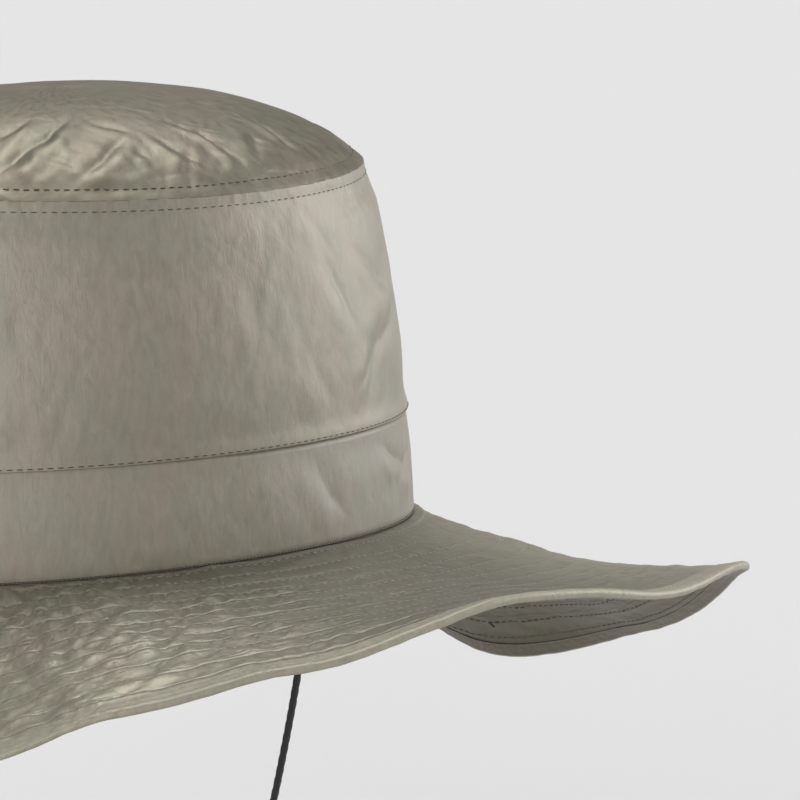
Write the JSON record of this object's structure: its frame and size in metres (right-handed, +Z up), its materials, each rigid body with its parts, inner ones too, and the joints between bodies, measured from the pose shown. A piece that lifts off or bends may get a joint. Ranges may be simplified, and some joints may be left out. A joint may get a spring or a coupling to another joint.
{
  "type": "wide-brimmed soft sun hat with a chin cord",
  "caption": "Soft sun hat: an oval crown of tip, side and band, a wide brim curved down at front and back with a bound edge, and a thin chin cord in a loop.",
  "frame": {"origin": "centre of the head opening, level with the seam of crown and brim", "axes": "+Z up, the wearer looks along -Y, +X towards the wearer's left"},
  "size_m": [0.3586, 0.3454, 0.2706],
  "materials": {
    "crown_cloth": "crinkled taslan nylon with a soft silvery sheen, warm grey",
    "brim_cloth": "stitched and puckered nylon in two layers, warm grey",
    "binding_tape": "folded nylon tape, lighter warm grey",
    "cord": "round braided polyester cord, black"
  },
  "bodies": {
    "root": {"crown_tip": "crown_cloth", "crown_side": "crown_cloth", "crown_band": "crown_cloth", "brim": "brim_cloth", "brim_binding": "binding_tape", "chin_cord": "cord"}
  },
  "joints": []
}
